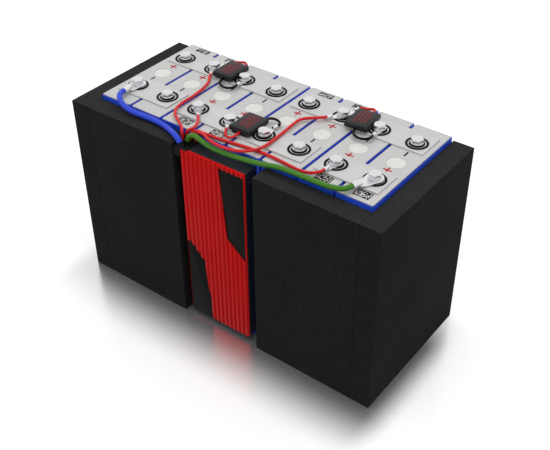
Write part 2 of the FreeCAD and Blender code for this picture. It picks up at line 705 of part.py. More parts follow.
def collar_axis(lean, heading):
    """Direction out of a collar: its lean from upright and the heading of the lean."""
    steep = math.radians(number(lean))
    round_z = math.radians(number(heading))
    level = math.sin(steep)
    return Vector(level * math.cos(round_z), level * math.sin(round_z), math.cos(steep))


def collar_mouth(name, rise):
    """Middle of the opening of one of the gland's collars."""
    return Vector(
        number(f"{UNIT_LEFT_X} + Sizes.{name}_collar_across"),
        number(f"{CELL_FRONT_Y} - Sizes.{name}_collar_forward"),
        number(f"{UNIT_TOP} + {rise}"),
    )


# The gland: a flange over the corner of the unit that turns down beside it, with two
# leaning collars for the main cables and four upright ones for the sense wires.
flange = bind(
    doc.addObject("Part::Box", "gland_flange"),
    Length="Sizes.gland_flange_width",
    Width=f"{UNIT_BACK_Y} - {HOUSING_FRONT_Y} + Sizes.front_plate_base + Sizes.rib_height",
    Height="Sizes.gland_flange_thickness",
)
GLAND_LEFT_X = f"{UNIT_LEFT_X} - Sizes.gland_flange_reach"
GLAND_FRONT_Y = f"{HOUSING_FRONT_Y} - Sizes.front_plate_base - Sizes.rib_height"
place(flange, GLAND_LEFT_X, GLAND_FRONT_Y, UNIT_TOP)
drop = bind(
    doc.addObject("Part::Box", "gland_drop_part"),
    Length="Sizes.gland_flange_reach",
    Width=f"{UNIT_BACK_Y} - {HOUSING_FRONT_Y} + Sizes.front_plate_base + Sizes.rib_height",
    Height="Sizes.gland_drop + Sizes.gland_flange_thickness / 2",
)
place(drop, GLAND_LEFT_X, GLAND_FRONT_Y, f"{UNIT_TOP} - Sizes.gland_drop")
leaning = []
for name in ("negative", "positive"):
    mouth = collar_mouth(name, f"Sizes.{name}_collar_rise")
    axis = collar_axis(f"Sizes.{name}_collar_lean", f"Sizes.{name}_collar_heading")
    diameter = f"({MAIN_CABLE_SIZES[name]} + 2 * Sizes.cable_collar_wall)"
    collar = cylinder(f"{name}_collar", diameter, "Sizes.cable_collar_length")
    foot = mouth - axis * number("Sizes.cable_collar_length")
    collar.Placement = Placement(foot, Rotation(Vector(0, 0, 1), axis))
    leaning.append(collar)
# A box larger than the collars cuts them off level with the unit's top.
TRIM_SIZE = "(4 * Sizes.gland_flange_width)"
trim = bind(doc.addObject("Part::Box", "collar_trim"), Length=TRIM_SIZE, Width=TRIM_SIZE, Height=TRIM_SIZE)
place(
    trim,
    f"{UNIT_LEFT_X} - {TRIM_SIZE} / 2",
    f"{HOUSING_FRONT_Y} - {TRIM_SIZE} / 2",
    f"{UNIT_TOP} - {TRIM_SIZE}",
)
collars = cut("leaning_collars", fused("leaning_collars_long", leaning), trim)
upright = []
for index in range(1, 5):
    diameter = "(Sizes.sense_wire_diameter + 2 * Sizes.wire_collar_wall)"
    height = "(Sizes.gland_flange_thickness + Sizes.wire_collar_height)"
    collar = cylinder(f"wire_{index}_collar", diameter, height)
    foot = (
        f"{UNIT_LEFT_X} + Sizes.wire_{index}_collar_across",
        f"{CELL_FRONT_Y} - Sizes.wire_{index}_collar_forward",
        UNIT_TOP,
    )
    upright.append(place(collar, *foot))
fused("unit_cable_gland", [flange, drop, collars, *upright])

# Three balancers, sealed blocks with sloped upper edges on adhesive pads over the plates.
balancer_pads = []
balancer_places = {}
for label, (middle, row) in BALANCERS.items():
    width, length = "Sizes.balancer_width", "Sizes.balancer_length"
    body, pad = block(label, width, length, "Sizes.balancer_height")
    dressed(
        body, "Chamfer", f"{label}_edges", pad, along_top(number("Sizes.balancer_height")), "Sizes.balancer_chamfer",
    )
    x = f"({middle} * {PITCH} + Sizes.{label}_shift)"
    y = f"({terminal_y(row)} + Sizes.{label}_back)"
    place(body, x, y, BALANCER_FOOT, f"Sizes.{label}_turn")
    balancer_places[label] = (x, y)
    pad_box = bind(
        doc.addObject("Part::Box", f"{label}_pad_box"),
        Length="Sizes.balancer_pad_width",
        Width="Sizes.balancer_pad_length",
        Height="Sizes.balancer_pad_thickness",
    )
    place(
        pad_box,
        f"{middle} * {PITCH} - Sizes.balancer_pad_width / 2",
        f"{terminal_y(row)} - Sizes.balancer_pad_length / 2",
        PLATE_TOP,
    )
    balancer_pads.append(pad_box)
group("balancer_pads", balancer_pads)


def balancer_face(label, side, across, rise, beyond=0):
    """Point on the front or back face of a balancer at a height above its foot, or some way out."""
    x, y = balancer_places[label]
    sign = {"front": -1, "back": 1}[side]
    local = Vector(across, sign * (number("Sizes.balancer_length") / 2 + beyond), 0)
    turn = Rotation(Vector(0, 0, 1), number(f"Sizes.{label}_turn"))
    return Vector(number(x), number(y), number(BALANCER_FOOT) + rise) + turn.multVec(local)


# Part of the shorter of two runs that the arc between them may take up.
BEND_SHARE = 0.45


def tube(route, diameter):
    """A round cord along straight runs joined by tangent arcs, and its length and radii."""
    pieces = []
    radii = []
    reached = route[0]
    for before, corner, after in zip(route, route[1:], route[2:]):
        inward = corner - before
        outward = after - corner
        turn = inward.getAngle(outward)
        radius = BEND_SHARE * min(inward.Length, outward.Length) / math.tan(turn / 2)
        setback = radius * math.tan(turn / 2)
        inward.normalize()
        outward.normalize()
        start = corner - inward * setback
        end = corner + outward * setback
        to_centre = (outward - inward).normalize()
        centre = corner + to_centre * (radius / math.cos(turn / 2))
        middle = centre - to_centre * radius
        pieces.append(Part.LineSegment(reached, start).toShape())
        pieces.append(Part.Arc(start, middle, end).toShape())
        radii.append(radius)
        reached = end
    pieces.append(Part.LineSegment(reached, route[-1]).toShape())
    spine = Part.Wire(pieces)
    section = Part.Wire([Part.Circle(route[0], route[1] - route[0], diameter / 2).toShape()])
    shape = spine.makePipeShell([section], True, False)
    return shape, spine.Length, radii


# How far each cord runs straight on from its lug and into the gland or the balancer.
STRAIGHT_FROM_LUG = {
    "main_negative_cable": 4.6,
    "main_positive_cable": 4.8,
    "sense_wire_1": 4.6,
    "sense_wire_2": 4,
    "sense_wire_3": 4,
    "sense_wire_4": 5,
    "balancer_left_red_lead": 3.8,
    "balancer_left_black_lead": 3.8,
    "balancer_middle_red_lead": 4,
    "balancer_middle_black_lead": 3.4,
    "balancer_right_red_lead": 3.8,
    "balancer_right_black_lead": 3.8,
}


def gland_end(name, straight):
    """Last two points of a main cable, along its collar's axis."""
    mouth = collar_mouth(name, f"Sizes.{name}_collar_rise")
    axis = collar_axis(f"Sizes.{name}_collar_lean", f"Sizes.{name}_collar_heading")
    return [mouth + axis * straight, mouth]


def wire_mouth(index):
    """Middle of the upright collar of a sense wire."""
    return [collar_mouth(f"wire_{index}", "Sizes.gland_flange_thickness + Sizes.wire_collar_height")]


def lead_end(label, side, across, rise, straight):
    """Last two points of a balancer's lead, square to the face it enters."""
    return [balancer_face(label, side, across, rise, straight), balancer_face(label, side, across, rise)]


# Points that each cord passes between its lug and its other end. Their heights are given
# from the plates' upper faces.
ROUTES = {
    "main_negative_cable": [
        (-127.6, -55.6, 3.6),
        (-120.6, -60.8, 2.2),
        (-112.6, -62.9, 0.2),
        (-104, -62.4, -2),
        (-93, -60.6, -2.9),
        (-77, -60.2, -3.1),
        (-63.5, -62, -3.1),
        (-52.6, -66, -2.6),
        (-46.5, -69.1, -1.5),
        (-43.8, -70, -2.1),
    ],
    "main_positive_cable": [
        (122.2, -56.2, 3.9),
        (117.6, -57.8, 3.2),
        (110, -58.3, 2.2),
        (99, -58.2, 1.6),
        (86, -58.2, 1.4),
        (72, -58.4, 1.4),
        (59, -59, 1),
        (48, -60.2, -0.8),
        (36, -60.8, -2.8),
        (22, -62.2, -3.5),
        (7, -63.8, -3.5),
        (-8.5, -64.2, -3.4),
        (-18.6, -63.6, -1.6),
        (-26.6, -63.4, 1.1),
        (-29.8, -63.5, 1.1),
        (-32.7, -63.8, -0.4),
    ],
    "sense_wire_1": [
        (-80.6, 18, 1.7),
        (-76.4, 4, 1.6),
        (-74.4, -13, 1.6),
        (-74.8, -29.6, 1.6),
        (-70.6, -43.6, 1.5),
        (-57.4, -52.4, 1.5),
        (-47.2, -59, 1.8),
        (-43, -63.2, 0.2),
        (-42.2, -64.2, -3.8),
    ],
    "sense_wire_2": [
        (-39.8, -45.4, 2.4),
        (-35.6, -53, 2.9),
        (-36, -58.2, 2.7),
        (-39.6, -60.6, 0.9),
        (-40.5, -60, -4),
    ],
    "sense_wire_3": [
        (88, -49.6, 1.4),
        (79, -52.4, 0.9),
        (67, -50.8, 0.3),
        (51, -48.8, 0.3),
        (35, -48.4, 0.3),
        (19, -49.6, 0.3),
        (3, -52, 0.3),
        (-12, -54, 0.3),
        (-24, -54.7, 0.6),
        (-31.6, -55.8, 1.1),
        (-35.4, -58.2, 0.1),
        (-36.8, -59, -2.9),
    ],
    "sense_wire_4": [
        (30.6, 15.4, 1.8),
        (29.6, 6, 1.6),
        (31, -10, 1.6),
        (31.8, -26, 1.7),
        (33.4, -41.6, 2.8),
        (31.8, -50.8, 3.4),
        (24.6, -58.4, 2.6),
        (14, -62.8, 1.8),
        (0, -64.4, 1.9),
        (-12, -63.4, 3),
        (-20.4, -59.6, 3.6),
        (-27.2, -58.4, 2.2),
        (-30.8, -58.6, -1),
        (-31.2, -58.7, -4.2),
    ],
    "balancer_left_red_lead": [
        (-81.4, 62.2, 3.2),
        (-77, 62.8, 4.6),
        (-72.6, 63.4, 5.6),
    ],
    "balancer_left_black_lead": [
        (-56.4, 19.2, 2),
        (-61.6, 17.6, 1.7),
        (-67.8, 19, 1.8),
    ],
    "balancer_middle_red_lead": [
        (-7, -47.4, 1.9),
        (-2.4, -48.8, 1.6),
        (1.4, -46.8, 2),
    ],
    "balancer_middle_black_lead": [
        (19.8, -3.2, 2.8),
        (15.4, -1.8, 3.2),
        (10.8, -2.6, 3.5),
    ],
    "balancer_right_red_lead": [
        (70.6, 61.6, 3.2),
        (74.4, 62.2, 4.6),
        (77.4, 61.9, 5.4),
    ],
    "balancer_right_black_lead": [
        (95.6, 19.4, 2),
        (90.6, 17.6, 1.7),
        (84.8, 18.4, 1.8),
    ],
}
FAR_ENDS = {
    "main_negative_cable": gland_end("negative", 3),
    "main_positive_cable": gland_end("positive", 3.2),
    "sense_wire_1": wire_mouth(1),
    "sense_wire_2": wire_mouth(2),
    "sense_wire_3": wire_mouth(3),
    "sense_wire_4": wire_mouth(4),
    "balancer_left_red_lead": lead_end("balancer_left", "back", 5, 3.7, 3.85),
    "balancer_left_black_lead": lead_end("balancer_left", "front", 2, 1.6, 5.65),
    "balancer_middle_red_lead": lead_end("balancer_middle", "front", 0.3, 1.8, 4.15),
    "balancer_middle_black_lead": lead_end("balancer_middle", "back", 6.7, 2.6, 3.95),
    "balancer_right_red_lead": lead_end("balancer_right", "back", 2.7, 3.7, 4.15),
    "balancer_right_black_lead": lead_end("balancer_right", "front", 0.3, 1.6, 4.75),
}
CORD_SIZES = {
    "main_negative": MAIN_CABLE_SIZES["negative"],
    "main_positive": MAIN_CABLE_SIZES["positive"],
    "sense": "Sizes.sense_wire_diameter",
    "balancer": "Sizes.balancer_lead_diameter",
}
for label, points in ROUTES.items():
    mouth = lug_mouths[label]
    route = [lug_end(label, *mouth), lug_end(label, *mouth, STRAIGHT_FROM_LUG[label])]
    route += [Vector(x, y, number(PLATE_TOP) + rise) for x, y, rise in points]
    route += FAR_ENDS[label]
    diameter = number(next(size for start, size in CORD_SIZES.items() if label.startswith(start)))
    start = route[0]
    shape, length, radii = tube([point - start for point in route], diameter)
    cord = doc.addObject("Part::Feature", label)
    cord.Label = label
    cord.Shape = shape
    cord.Placement = Placement(start, Rotation())
    full = math.pi * diameter ** 2 / 4 * length
    print(f"{label}: length {length:.1f}, tightest bend {min(radii):.1f}, volume ratio {shape.Volume / full:.4f}")
    print("    " + " ".join(f"({p.x:.2f},{p.y:.2f},{p.z:.2f})" for p in route))

doc.recompute()

# Every object is checked before its node is written.
for thing in doc.Objects:
    if "Invalid" in thing.State or "Error" in thing.State:
        raise ValueError(f"{thing.Name} is {thing.State}")
NODES = (
    [f"cell_{index}" for index in range(1, CELL_COUNT + 1)]
    + [f"cell_{index}_top_sheet" for index in range(1, CELL_COUNT + 1)]
    + [f"separator_{index}" for index in range(1, CELL_COUNT)]
    + [*PANELS, *PLATES, *BALANCERS, *ROUTES]
    + ["terminal_outer_rings", "terminal_gaskets", "terminal_washers", "terminal_bolts"]
    + ["ring_lugs", "main_cable_lugs", "unit_housing", "unit_mounting_pad", "unit_screws"]
    + ["unit_front_plate", "unit_front_inlays", "unit_cable_gland", "balancer_pads"]
)
for label in NODES:
    thing = doc.getObjectsByLabel(label)[0]
    shape = thing.Shape
    if shape.isNull() or not shape.isValid():
        raise ValueError(f"{label} has no valid shape")
    box = shape.BoundBox
    print(f"{label}: {len(shape.Solids)} solids, {shape.Volume:.0f} mm3, "
          f"x {box.XMin:.1f} {box.XMax:.1f} y {box.YMin:.1f} {box.YMax:.1f} z {box.ZMin:.1f} {box.ZMax:.1f}")
    shape.exportStep(f"parts/{label}.step")
print(f"{len(NODES)} nodes")
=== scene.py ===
import math
import random

import bmesh
import bpy
from mathutils import Euler, Matrix, Vector


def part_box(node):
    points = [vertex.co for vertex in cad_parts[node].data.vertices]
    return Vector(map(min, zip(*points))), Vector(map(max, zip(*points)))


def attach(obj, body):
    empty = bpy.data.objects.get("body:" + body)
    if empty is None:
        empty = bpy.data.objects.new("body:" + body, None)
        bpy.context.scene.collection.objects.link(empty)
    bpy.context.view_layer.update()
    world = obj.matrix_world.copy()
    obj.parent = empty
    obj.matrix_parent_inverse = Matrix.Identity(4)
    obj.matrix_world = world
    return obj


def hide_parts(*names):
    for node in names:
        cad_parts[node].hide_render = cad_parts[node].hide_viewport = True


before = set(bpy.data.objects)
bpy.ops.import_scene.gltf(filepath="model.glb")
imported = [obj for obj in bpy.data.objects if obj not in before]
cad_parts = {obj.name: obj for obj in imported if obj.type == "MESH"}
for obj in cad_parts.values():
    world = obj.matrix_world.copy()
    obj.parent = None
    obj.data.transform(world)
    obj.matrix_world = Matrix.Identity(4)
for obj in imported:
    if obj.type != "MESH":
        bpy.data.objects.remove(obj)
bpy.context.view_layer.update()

# Cells. Each is a sealed aluminium can in a shrunk film of glossy blue plastic, folded
# over the edge of the lid. Two posts and a round vent stand on the lid. Eight of them
# stand side by side on the floor.
MM = 0.001
HAIR = 0.01 * MM
UPWARD = 0.7
CELL_COUNT = 8
FILM_EDGE = 0.8 * MM
FILM_BLUE = (38, 78, 214)
# Painted shade: the film's upward fold round each lid is a darker blue, as shade in the narrow gaps between
# cells.
SHADED_FOLD_BLUE = (24, 48, 156)
BARE_ALUMINIUM = (196, 197, 200)
VENT_PALE = (221, 220, 217)
VENT_Y = 8.75 * MM
VENT_REACH = 10 * MM
VENT_SPREAD = 1.045
MERGE_DISTANCE = 0.001 * MM
FLAT_ANGLE = math.radians(0.5)


def shade(red, green, blue):
    """A colour for a shader, from values of 0 to 255 as they look on a screen."""
    return tuple((value / 255) ** 2.2 for value in (red, green, blue)) + (1,)


def node_group(name, inputs, outputs):
    """An empty shader group with its sockets, and its inner input and output nodes."""
    group = bpy.data.node_groups.new(name, "ShaderNodeTree")
    for direction, sockets in (("INPUT", inputs), ("OUTPUT", outputs)):
        for socket, kind in sockets.items():
            group.interface.new_socket(name=socket, in_out=direction, socket_type=f"NodeSocket{kind}")
    return group, group.nodes.new("NodeGroupInput"), group.nodes.new("NodeGroupOutput")


def calculated(tree, operation, first, second):
    """A math node over two sockets or plain numbers; gives its result."""
    node = tree.nodes.new("ShaderNodeMath")
    node.operation = operation
    for socket, value in zip(node.inputs, (first, second)):
        if isinstance(value, (int, float)):
            socket.default_value = value
        else:
            tree.links.new(value, socket)
    return node.outputs["Value"]


def noise(tree, place, scale, detail):
    """A noise texture at a place; the scale is a socket or a plain number of bumps a metre."""
    node = tree.nodes.new("ShaderNodeTexNoise")
    node.inputs["Detail"].default_value = detail
    tree.links.new(place, node.inputs["Vector"])
    if isinstance(scale, (int, float)):
        node.inputs["Scale"].default_value = scale
    else:
        tree.links.new(scale, node.inputs["Scale"])
    return node.outputs["Fac"]


def swing(tree, pattern, amount):
    """A pattern of 0 to 1 as a swing about zero, of the given amount."""
    return calculated(tree, "MULTIPLY", calculated(tree, "SUBTRACT", pattern, 0.5), amount)


def brightened(tree, color, brightness):
    """A colour times a brightness."""
    scaled = tree.nodes.new("ShaderNodeVectorMath")
    scaled.operation = "SCALE"
    tree.links.new(color, scaled.inputs["Vector"])
    tree.links.new(brightness, scaled.inputs["Scale"])
    return scaled.outputs["Vector"]


def uneven_surface():
    """Slow drift of tone and a fine grain, as any moulded or painted surface has."""
    tree, given, result = node_group(
        "uneven_surface",
        {
            "Place": "Vector",
            "Color": "Color",
            "Roughness": "Float",
            "Drift": "Float",
            "Drift Scale": "Float",
            "Grain": "Float",
            "Grain Scale": "Float",
        },
        {"Color": "Color", "Roughness": "Float", "Height": "Float"},
    )
    drift = noise(tree, given.outputs["Place"], given.outputs["Drift Scale"], detail=3)
    grain = noise(tree, given.outputs["Place"], given.outputs["Grain Scale"], detail=2)
    drift_share = swing(tree, drift, given.outputs["Drift"])
    grain_share = swing(tree, grain, given.outputs["Grain"])
    brightness = calculated(tree, "ADD", calculated(tree, "ADD", drift_share, grain_share), 1)
    rougher = calculated(tree, "SUBTRACT", given.outputs["Roughness"], drift_share)
    tree.links.new(brightened(tree, given.outputs["Color"], brightness), result.inputs["Color"])
    tree.links.new(rougher, result.inputs["Roughness"])
    tree.links.new(grain, result.inputs["Height"])
    return tree


UNEVEN_SURFACE = uneven_surface()


def shader_of(material):
    """The main shader of a material."""
    return material.node_tree.nodes["Principled BSDF"]


def varied_material(name, effect, values, depth):
    """A material whose colour, roughness and relief come from a shader group on the piece's own place."""
    material = bpy.data.materials.new(name)
    material.use_nodes = True
    tree = material.node_tree
    shader = shader_of(material)
    place = tree.nodes.new("ShaderNodeTexCoord").outputs["Object"]
    varied = tree.nodes.new("ShaderNodeGroup")
    varied.node_tree = effect
    tree.links.new(place, varied.inputs["Place"])
    for socket, value in values.items():
        varied.inputs[socket].default_value = value
    bump = tree.nodes.new("ShaderNodeBump")
    bump.inputs["Distance"].default_value = depth
    tree.links.new(varied.outputs["Color"], shader.inputs["Base Color"])
    tree.links.new(varied.outputs["Roughness"], shader.inputs["Roughness"])
    tree.links.new(varied.outputs["Height"], bump.inputs["Height"])
    tree.links.new(bump.outputs["Normal"], shader.inputs["Normal"])
    return material


def new_finish(
    name,
    color,
    roughness,
    specular=0.5,
    drift=0.1,
    drift_scale=35,
    grain=0.1,
    grain_scale=900,
    depth=0.02 * MM,
):
    """Film, paint, plastic, rubber, foam or print. The scales are in bumps a metre."""
    values = {
        "Color": shade(*color),
        "Roughness": roughness,
        "Drift": drift,
        "Drift Scale": drift_scale,
        "Grain": grain,
        "Grain Scale": grain_scale,
    }
    material = varied_material(name, UNEVEN_SURFACE, values, depth)
    shader_of(material).inputs["Specular IOR Level"].default_value = specular
    return material


def show_piece(name, mesh, finishes, replaced=()):
    """Puts a finished bmesh in the pack as a piece, instead of the nodes it stands for."""
    data = bpy.data.meshes.new(name)
    mesh.to_mesh(data)
    mesh.free()
    for finish in finishes:
        data.materials.append(finish)
    piece = bpy.data.objects.new(name, data)
    bpy.context.scene.collection.objects.link(piece)
    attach(piece, "root")
    if replaced:
        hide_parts(*replaced)
    return piece


def shade_softly(piece, angle=30):
    """Smooth shading that keeps the edges which turn by more than the angle."""
    piece.data.shade_smooth()
    piece.data.set_sharp_from_angle(angle=math.radians(angle))


def whole_mesh(node):
    """The faces of a CAD node as whole faces instead of loose triangles."""
    mesh = bmesh.new()
    mesh.from_mesh(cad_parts[node].data)
    bmesh.ops.remove_doubles(mesh, verts=mesh.verts, dist=MERGE_DISTANCE)
    bmesh.ops.dissolve_limit(mesh, angle_limit=FLAT_ANGLE, verts=mesh.verts, edges=mesh.edges)
    return mesh


def bevel_edges(mesh, edges, width, segments):
    """Rounds or slopes edges."""
    bmesh.ops.bevel(
        mesh,
        geom=edges,
        offset=width,
        offset_type="OFFSET",
        segments=segments,
        profile=0.5,
        material=-1,
        affect="EDGES",
        clamp_overlap=True,
    )


def round_edges(mesh, width, segments=2, sharper_than=28):
    """Rounds the edges that turn by more than an angle, as a mould or a wrap leaves them."""
    turned = math.radians(sharper_than)
    sharp = [edge for edge in mesh.edges if edge.is_manifold and edge.calc_face_angle() > turned]
    bevel_edges(mesh, sharp, width, segments)


def softened(node, name, finish, edge):
    """A CAD node with its edges rounded, shown in the node's place."""
    mesh = whole_mesh(node)
    round_edges(mesh, edge)
    shade_softly(show_piece(name, mesh, [finish], [node]))


film = new_finish(
    "blue_film",
    FILM_BLUE,
    roughness=0.24,
    drift=0.16,
    drift_scale=26,
    grain_scale=160,
    depth=0.12 * MM,
)
shader_of(film).inputs["Coat Weight"].default_value = 0.4
shader_of(film).inputs["Coat Roughness"].default_value = 0.12
shaded_fold = new_finish("folded_film_painted_shade", SHADED_FOLD_BLUE, roughness=0.35, specular=0.3, drift_scale=26, grain_scale=160)
bare_metal = new_finish("bare_aluminium", BARE_ALUMINIUM, roughness=0.34, grain_scale=1500)
shader_of(bare_metal).inputs["Metallic"].default_value = 1
vent_film = new_finish(
    "vent_cover",
    VENT_PALE,
    roughness=0.5,
    drift=0.2,
    drift_scale=300,
    grain=0.3,
    grain_scale=700,
)
CAN_FINISHES = [film, bare_metal, vent_film, shaded_fold]

for number in range(1, CELL_COUNT + 1):
    can = whole_mesh(f"cell_{number}")
    low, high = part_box(f"cell_{number}_top_sheet")
    lid_height = low.z
    middle_x = (low.x + high.x) / 2
    for corner in can.verts:
        if corner.co.z > lid_height + HAIR and abs(corner.co.y - VENT_Y) < VENT_REACH:
            corner.co.x = middle_x + (corner.co.x - middle_x) * VENT_SPREAD
            corner.co.y = VENT_Y + (corner.co.y - VENT_Y) * VENT_SPREAD
    # Faces above the lid are posts and vent; the upward film below them gets the darker blue of painted
    # shade.
    for face in can.faces:
        middle = face.calc_center_median()
        if middle.z > lid_height + HAIR:
            top_finish = vent_film if abs(middle.y - VENT_Y) < VENT_REACH else bare_metal
            face.material_index = CAN_FINISHES.index(top_finish)
        elif face.normal.z > UPWARD:
            face.material_index = CAN_FINISHES.index(shaded_fold)
    round_edges(can, FILM_EDGE, segments=3, sharper_than=40)
    shade_softly(show_piece(f"wrapped_cell_{number}", can, CAN_FINISHES, [f"cell_{number}"]))

# Top sheets. A pale fibre sheet is stuck on each lid, with round holes for the posts and
# the vent.
SHEET_PALE = (196, 196, 195)
sheet_finish = new_finish(
    "pale_fibre",
    SHEET_PALE,
    roughness=0.55,
    drift=0.05,
    grain=0.08,
    grain_scale=1400,
)
for number in range(1, CELL_COUNT + 1):
    softened(f"cell_{number}_top_sheet", f"lid_sheet_{number}", sheet_finish, edge=0.15 * MM)

# Polarity marks and codes. A red plus and a black bar are printed on each sheet beside
# the vent, and a square code, here a plain field of dots, near the end with the plus.
PRINT_SUNK = 0.02 * MM
PRINT_THICKNESS = 0.07 * MM
PLUS_AT_BACK = (1, 2, 5, 6)
MARK_BACK_Y = 24.75 * MM
MARK_FRONT_Y = -5.25 * MM
PLUS_ARM = (8.2 * MM, 1.6 * MM)
BAR = (1.7 * MM, 7 * MM)
CODE_SHIFT = 2.4 * MM
CODE_BACK_Y = 65.4 * MM
CODE_FRONT_Y = -46.2 * MM
CODE_DOT = 0.95 * MM
CODE_COLUMNS = 16
CODE_ROWS = 10
CODE_DENSITY = 0.6
DOT_SHARE = 0.96
PRINT_RED = (170, 26, 40)
PRINT_BLACK = (20, 20, 22)
print_red = new_finish("red_print", PRINT_RED, roughness=0.6, specular=0.2)
print_black = new_finish("black_print", PRINT_BLACK, roughness=0.6, specular=0.2)


def add_flat_mark(mesh, across, along, x, y, z, turn=0.0):
    """A thin printed rectangle whose middle is at x and y, on a surface at z."""
    middle = Matrix.Translation((x, y, z - PRINT_SUNK + PRINT_THICKNESS / 2))
    size = Matrix.Diagonal((across, along, PRINT_THICKNESS, 1))
    bmesh.ops.create_cube(mesh, size=1, matrix=middle @ Matrix.Rotation(turn, 4, "Z") @ size)


pluses = bmesh.new()
bars = bmesh.new()
codes = bmesh.new()
dots = random.Random(4)
for number in range(1, CELL_COUNT + 1):
    low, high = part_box(f"cell_{number}_top_sheet")
    x = (low.x + high.x) / 2
    at_back = number in PLUS_AT_BACK
    plus_y, bar_y = (MARK_BACK_Y, MARK_FRONT_Y) if at_back else (MARK_FRONT_Y, MARK_BACK_Y)
    long, thin = PLUS_ARM
    add_flat_mark(pluses, long, thin, x, plus_y, high.z)
    for side in (-1, 1):
        add_flat_mark(pluses, thin, (long - thin) / 2, x, plus_y + side * (long + thin) / 4, high.z)
    add_flat_mark(bars, *BAR, x, bar_y, high.z)
    code_y = CODE_BACK_Y if at_back else CODE_FRONT_Y
    for column in range(CODE_COLUMNS):
        for row in range(CODE_ROWS):
            at_rim = row in (0, CODE_ROWS - 1) or column in (0, CODE_COLUMNS - 1)
            if at_rim or dots.random() < CODE_DENSITY:
                dot_x = x + CODE_SHIFT + (column - (CODE_COLUMNS - 1) / 2) * CODE_DOT
                dot_y = code_y + (row - (CODE_ROWS - 1) / 2) * CODE_DOT
                add_flat_mark(codes, DOT_SHARE * CODE_DOT, DOT_SHARE * CODE_DOT, dot_x, dot_y, high.z)
show_piece("plus_marks", pluses, [print_red])
show_piece("minus_marks", bars, [print_black])
show_piece("code_dots", codes, [print_black])

# Spacers. Thin sheets of dark blue plastic stand between the cells, a little lower than
# the lids.
SPACER_BLUE = (14, 22, 90)


def coat(node, finish):
    """Gives a CAD node that keeps its shape its finish."""
    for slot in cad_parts[node].material_slots:
        slot.material = finish


separator_finish = new_finish("dark_blue_spacer", SPACER_BLUE, roughness=0.45)
for number in range(1, CELL_COUNT):
    coat(f"separator_{number}", separator_finish)

# Foam panels. Boards of matt black foam are glued to both ends of the row and to its
# front, either side of the protection unit. The skin shows the fine cells of the foam.
FOAM_SKIN = (37, 37, 37)
# Painted light: the upward faces of the boards are a lighter grey, as if lit from above.
FOAM_TOP_PAINTED_LIGHT = (50, 50, 50)
FOAM_GRAIN = {
    "specular": 0.06,
    "drift": 0.2,
    "drift_scale": 14,
    "grain": 1.1,
    "grain_scale": 560,
    "depth": 0.3 * MM,
}
foam_skin = new_finish("black_foam_skin", FOAM_SKIN, roughness=0.85, **FOAM_GRAIN)
foam_top_painted_light = new_finish("black_foam_top_painted_light", FOAM_TOP_PAINTED_LIGHT, roughness=0.9, **FOAM_GRAIN)
for node in ("left_end_panel", "right_end_panel", "front_left_panel", "front_right_panel"):
    board = whole_mesh(node)
    # Upward faces take the lighter grey of painted light from above.
    for face in board.faces:
        face.material_index = 1 if face.normal.z > UPWARD else 0
    board_piece = show_piece(f"{node}_board", board, [foam_skin, foam_top_painted_light], [node])
    shade_softly(board_piece, angle=20)

# Plates. Flat bars of pale nickel-plated metal lie on the lids and join the terminals
# of neighbouring cells.
PLATE_PALE = (204, 204, 204)
STREAKS_A_METRE = (60, 2600, 2600)
CLOUDS_A_METRE = 45
CLOUD_AMOUNT = 0.12
SCRATCH_DEPTH = 0.01 * MM


def brushed_streaks():
    """Fine scratches along X, as rolling and brushing leave them."""
    tree, given, result = node_group(
        "brushed_streaks",
        {"Place": "Vector", "Color": "Color", "Roughness": "Float", "Streaks": "Float"},
        {"Color": "Color", "Roughness": "Float", "Height": "Float"},
    )
    stretched = tree.nodes.new("ShaderNodeVectorMath")
    stretched.operation = "MULTIPLY"
    stretched.inputs[1].default_value = STREAKS_A_METRE
    tree.links.new(given.outputs["Place"], stretched.inputs[0])
    streaks = noise(tree, stretched.outputs["Vector"], 1, detail=3)
    clouds = noise(tree, given.outputs["Place"], CLOUDS_A_METRE, detail=3)
    uneven = swing(tree, streaks, given.outputs["Streaks"])
    cloudy = swing(tree, clouds, CLOUD_AMOUNT)
    brightness = calculated(tree, "ADD", calculated(tree, "ADD", uneven, cloudy), 1)
    rougher = calculated(tree, "SUBTRACT", given.outputs["Roughness"], uneven)
    tree.links.new(brightened(tree, given.outputs["Color"], brightness), result.inputs["Color"])
    tree.links.new(rougher, result.inputs["Roughness"])
    tree.links.new(streaks, result.inputs["Height"])
    return tree


BRUSHED_STREAKS = brushed_streaks()


def metal_finish(name, color, roughness, streaks, metallic=1):
    """Brushed or rolled metal."""
    values = {"Color": shade(*color), "Roughness": roughness, "Streaks": streaks}
    material = varied_material(name, BRUSHED_STREAKS, values, SCRATCH_DEPTH)
    shader_of(material).inputs["Metallic"].default_value = metallic
    return material


plate_finish = metal_finish("plated_bar", PLATE_PALE, roughness=0.6, streaks=0.12, metallic=0.45)
for place in ("back_left", "back_right", "front_left", "front_middle", "front_right"):
    softened(f"{place}_plate", f"{place}_plate_bar", plate_finish, edge=0.3 * MM)

# Rings and gaskets. A flat black ring lies round each terminal, with a gap to a rubber
# disc under the lugs and the washer.
RING_BLACK = (9, 9, 10)
# Painted shade: the rubber disc is black so that its rim round the washer also stands for the contact shadow
# there.
RUBBER_AND_SHADE_BLACK = (12, 12, 13)
ring_finish = new_finish("black_ring_plastic", RING_BLACK, roughness=0.5, specular=0.1)
gasket_shade_finish = new_finish("black_rubber_painted_shade", RUBBER_AND_SHADE_BLACK, roughness=0.6, specular=0.12)
softened("terminal_outer_rings", "outer_rings", ring_finish, edge=0.12 * MM)
softened("terminal_gaskets", "gaskets", gasket_shade_finish, edge=0.12 * MM)

